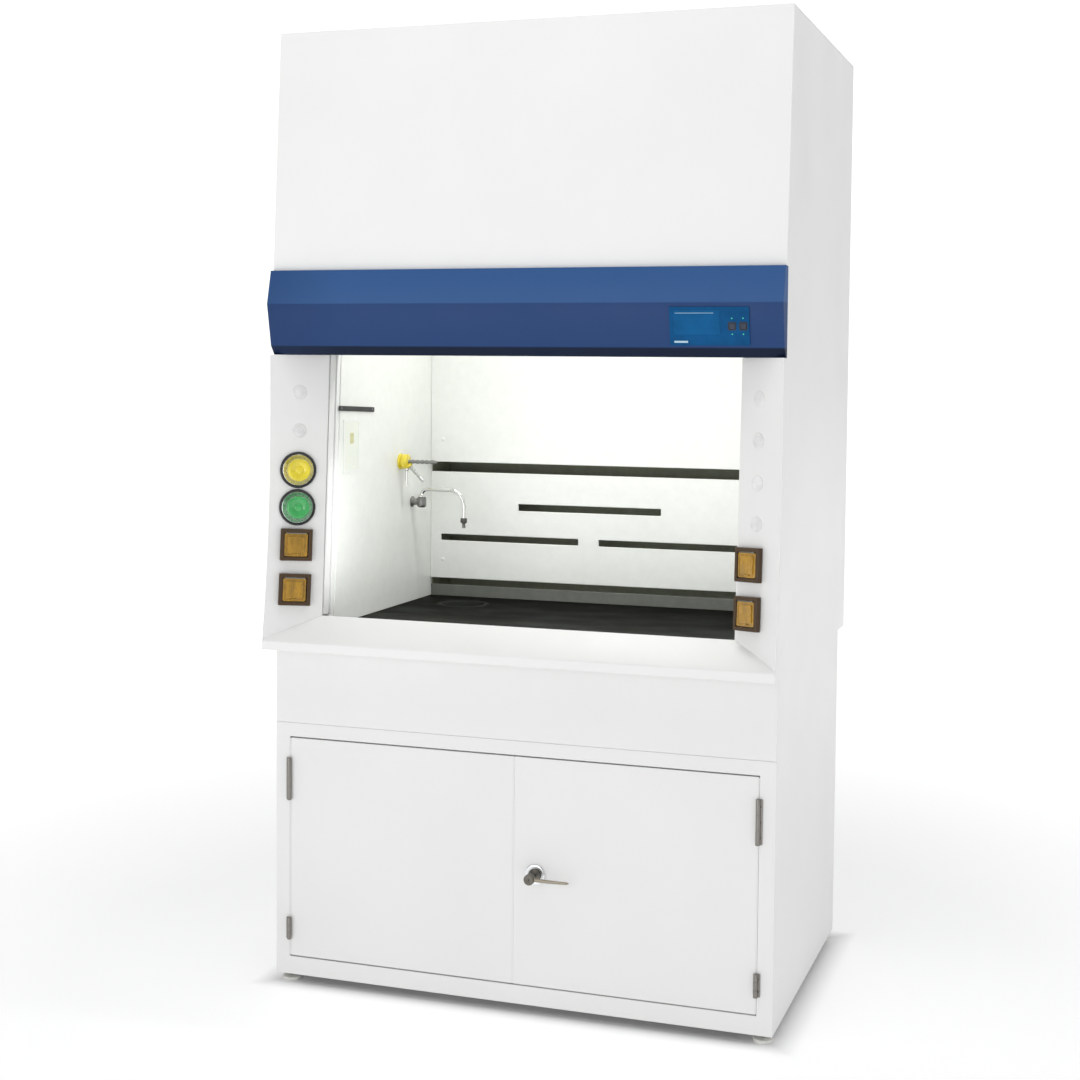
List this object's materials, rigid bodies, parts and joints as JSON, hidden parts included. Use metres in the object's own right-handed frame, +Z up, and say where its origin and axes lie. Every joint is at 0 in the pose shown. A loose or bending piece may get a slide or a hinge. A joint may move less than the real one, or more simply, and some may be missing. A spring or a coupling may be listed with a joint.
{
  "type": "fume hood",
  "caption": "Floor-standing fume hood with a leaning vertical sash, control fascia, bevelled service posts, slotted baffle, sink and a two-door base cabinet.",
  "frame": {"origin": "on the floor, under the middle of the hood's box", "axes": "+X to the right and +Y to the back for a person facing the hood, +Z up"},
  "size_m": [1.2, 0.896, 2.275],
  "materials": {
    "white_powder_coat": "fine-textured semi-gloss white powder coat",
    "blue_powder_coat": "satin deep blue paint",
    "track_white": "satin white",
    "white_liner": "satin white resin laminate",
    "black_resin": "satin black cast resin",
    "foot_polymer": "matte off-white",
    "satin_steel": "satin stainless steel",
    "plain_steel": "plain steel bar",
    "chrome": "polished chrome plate",
    "anodised_aluminium": "satin anodised",
    "control_membrane": "glossy membrane panel",
    "dark_key": "matte dark keys",
    "sash_glass": "clear laminated safety glass",
    "lamp_diffuser": "opal lamp cover",
    "outlet_yellow": "glossy yellow coating",
    "knob_yellow": "glossy moulded yellow",
    "knob_green": "glossy moulded green",
    "black_bezel": "glossy moulded black",
    "socket_brown": "moulded dark brown",
    "amber_cover": "tinted translucent amber"
  },
  "bodies": {
    "hood": {"base_left_side": "white_powder_coat", "base_right_side": "white_powder_coat", "base_back": "white_powder_coat", "base_floor": "white_powder_coat", "base_front_frame": "white_powder_coat", "base_apron": "white_powder_coat", "hood_left_side": "white_powder_coat", "hood_right_side": "white_powder_coat", "hood_back": "white_powder_coat", "hood_roof": "white_powder_coat", "upper_front_panel": "white_powder_coat", "left_post": "white_powder_coat", "right_post": "white_powder_coat", "airfoil_sill": "white_powder_coat", "foot_front_left": "foot_polymer", "foot_front_right": "foot_polymer", "foot_rear_left": "foot_polymer", "foot_rear_right": "foot_polymer", "left_upper_hinge": "satin_steel", "left_lower_hinge": "satin_steel", "right_upper_hinge": "satin_steel", "right_lower_hinge": "satin_steel", "water_fitting": "chrome", "control_fascia": "blue_powder_coat", "control_panel": "control_membrane", "left_sash_track": "track_white", "right_sash_track": "track_white", "left_liner": "white_liner", "right_liner": "white_liner", "baffle_lower": "white_liner", "baffle_upper": "white_liner", "ceiling_panel": "white_liner", "lamp_lens": "lamp_diffuser", "worktop": "black_resin", "cup_sink": "black_resin", "gas_outlet": "outlet_yellow", "gas_valve_bezel": "black_bezel", "water_valve_bezel": "black_bezel", "left_upper_socket": "socket_brown", "left_lower_socket": "socket_brown", "right_upper_socket": "socket_brown", "right_lower_socket": "socket_brown"},
    "left_door": {"left_door": "white_powder_coat"},
    "right_door": {"right_door": "white_powder_coat"},
    "latch": {"latch_handle": "chrome", "latch_cam": "satin_steel"},
    "sash": {"sash_glass": "sash_glass", "sash_handle_rail": "anodised_aluminium"},
    "left_weight": {"left_counterweight": "plain_steel"},
    "right_weight": {"right_counterweight": "plain_steel"},
    "balance_shaft": {"sash_shaft": "plain_steel"},
    "gas_knob": {"gas_knob": "knob_yellow"},
    "water_knob": {"water_knob": "knob_green"},
    "spout": {"gooseneck": "chrome"},
    "control_key_1": {"control_key_1": "dark_key"},
    "control_key_2": {"control_key_2": "dark_key"},
    "left_upper_lid": {"left_upper_socket_lid": "amber_cover"},
    "left_lower_lid": {"left_lower_socket_lid": "amber_cover"},
    "right_upper_lid": {"right_upper_socket_lid": "amber_cover"},
    "right_lower_lid": {"right_lower_socket_lid": "amber_cover"}
  },
  "joints": [
    {"name": "sash_slide", "type": "slide", "parent": "hood", "child": "sash", "axis": [0, -0.0619, -0.9981], "range_m": [0, 0.608]},
    {"name": "left_weight_slide", "type": "slide", "parent": "hood", "child": "left_weight", "axis": [0, 0, 1], "range_m": [0, 0.608]},
    {"name": "right_weight_slide", "type": "slide", "parent": "hood", "child": "right_weight", "axis": [0, 0, 1], "range_m": [0, 0.608]},
    {"name": "balance_shaft_spin", "type": "hinge", "parent": "hood", "child": "balance_shaft", "pos_m": [0, -0.18817, 2.165], "axis": [1, 0, 0], "range_deg": [0, 775]},
    {"name": "left_door_hinge", "type": "hinge", "parent": "hood", "child": "left_door", "pos_m": [-0.557, -0.3925, 0.327], "axis": [0, 0, -1], "range_deg": [0, 110]},
    {"name": "right_door_hinge", "type": "hinge", "parent": "hood", "child": "right_door", "pos_m": [0.557, -0.3925, 0.327], "axis": [0, 0, 1], "range_deg": [0, 110]},
    {"name": "latch_turn", "type": "hinge", "parent": "right_door", "child": "latch", "pos_m": [0.052, -0.386, 0.322], "axis": [0, 1, 0], "range_deg": [0, 90]},
    {"name": "gas_knob_turn", "type": "hinge", "parent": "hood", "child": "gas_knob", "pos_m": [-0.546, -0.37054, 1.214], "axis": [0.5679, -0.8222, 0.0395], "range_deg": [0, 270]},
    {"name": "water_knob_turn", "type": "hinge", "parent": "hood", "child": "water_knob", "pos_m": [-0.546, -0.37532, 1.127], "axis": [0.5612, -0.8261, 0.0511], "range_deg": [0, 270]},
    {"name": "spout_swivel", "type": "hinge", "parent": "hood", "child": "spout", "pos_m": [-0.462, 0.174, 1.104], "axis": [0, 0, 1], "range_deg": [-75, 45]},
    {"name": "left_upper_lid_hinge", "type": "hinge", "parent": "hood", "child": "left_upper_lid", "pos_m": [-0.53806, -0.39077, 1.06779], "axis": [-0.8238, -0.5653, 0.0428], "range_deg": [0, 100], "stiffness_Nm_per_rad": 0.02},
    {"name": "left_lower_lid_hinge", "type": "hinge", "parent": "hood", "child": "left_lower_lid", "pos_m": [-0.53775, -0.39882, 0.96393], "axis": [-0.808, -0.5867, 0.0542], "range_deg": [0, 100], "stiffness_Nm_per_rad": 0.02},
    {"name": "right_upper_lid_hinge", "type": "hinge", "parent": "hood", "child": "right_upper_lid", "pos_m": [0.51994, -0.37833, 1.06685], "axis": [-0.8238, 0.5653, -0.0428], "range_deg": [0, 100], "stiffness_Nm_per_rad": 0.02},
    {"name": "right_lower_lid_hinge", "type": "hinge", "parent": "hood", "child": "right_lower_lid", "pos_m": [0.51998, -0.38591, 0.96273], "axis": [-0.808, 0.5867, -0.0542], "range_deg": [0, 100], "stiffness_Nm_per_rad": 0.02},
    {"name": "control_key_1_press", "type": "slide", "parent": "hood", "child": "control_key_1", "axis": [0, 0.979, 0.204], "range_m": [0, 0.0012], "stiffness_N_per_m": 400},
    {"name": "control_key_2_press", "type": "slide", "parent": "hood", "child": "control_key_2", "axis": [0, 0.979, 0.204], "range_m": [0, 0.0012], "stiffness_N_per_m": 400}
  ],
  "couplings": [
    {"joint": "left_weight_slide", "follows": "sash_slide", "ratio": 1},
    {"joint": "right_weight_slide", "follows": "sash_slide", "ratio": 1},
    {"joint": "balance_shaft_spin", "follows": "sash_slide", "rad_per_m": 22.222}
  ]
}
